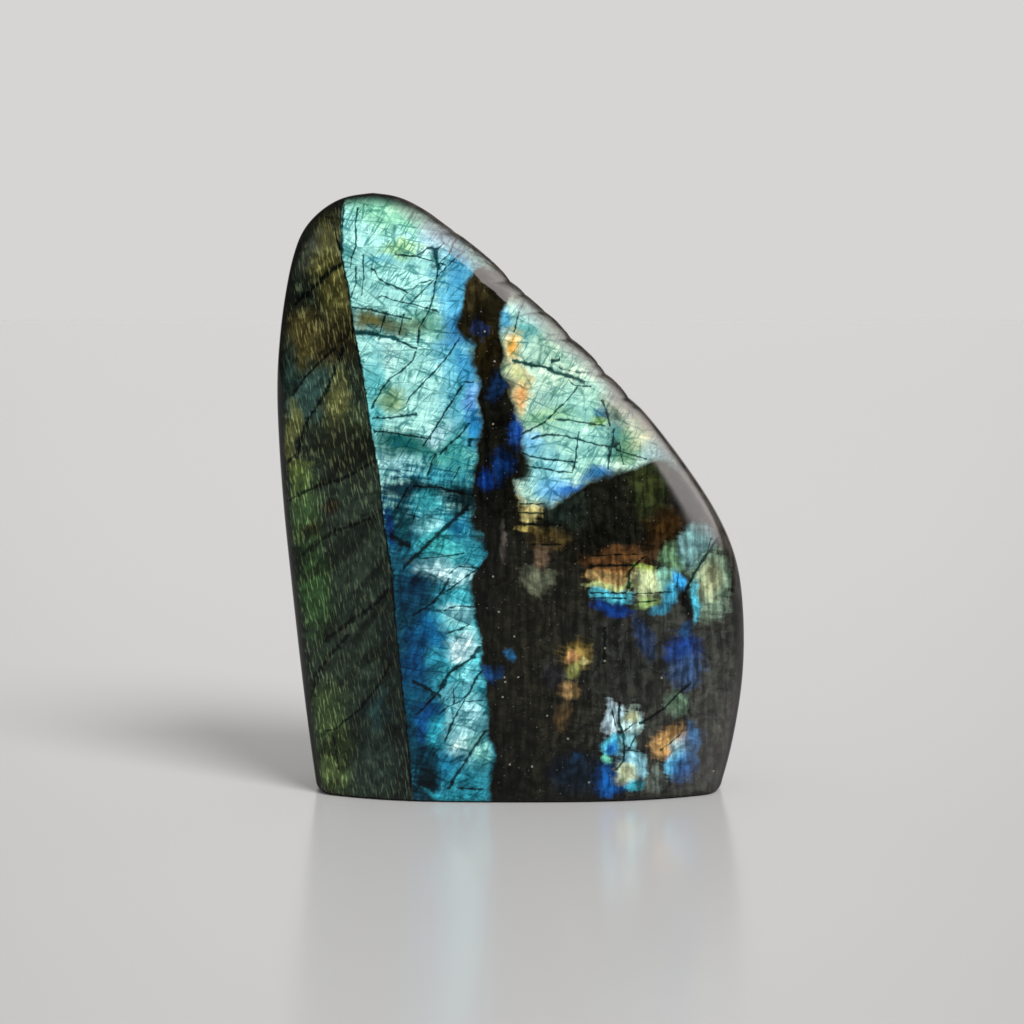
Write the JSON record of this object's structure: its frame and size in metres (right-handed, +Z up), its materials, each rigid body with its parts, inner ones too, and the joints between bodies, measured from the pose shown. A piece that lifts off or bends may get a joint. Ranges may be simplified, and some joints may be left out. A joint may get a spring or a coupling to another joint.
{
  "type": "polished labradorite freeform",
  "caption": "Polished freeform of iridescent feldspar, a domed leaning stone with a sloping chipped shoulder, standing on a flat ground base.",
  "frame": {"origin": "on the flat ground base, under the middle of the stone's bounding box", "axes": "+Z up, -Y out of the flashing front face, +X to the right seen from the front"},
  "size_m": [0.102, 0.0344, 0.13],
  "materials": {
    "labradorite": "high polish, with blue, green and gold schiller on a near-black body"
  },
  "bodies": {
    "root": {"labradorite_stone": "labradorite"}
  },
  "joints": []
}
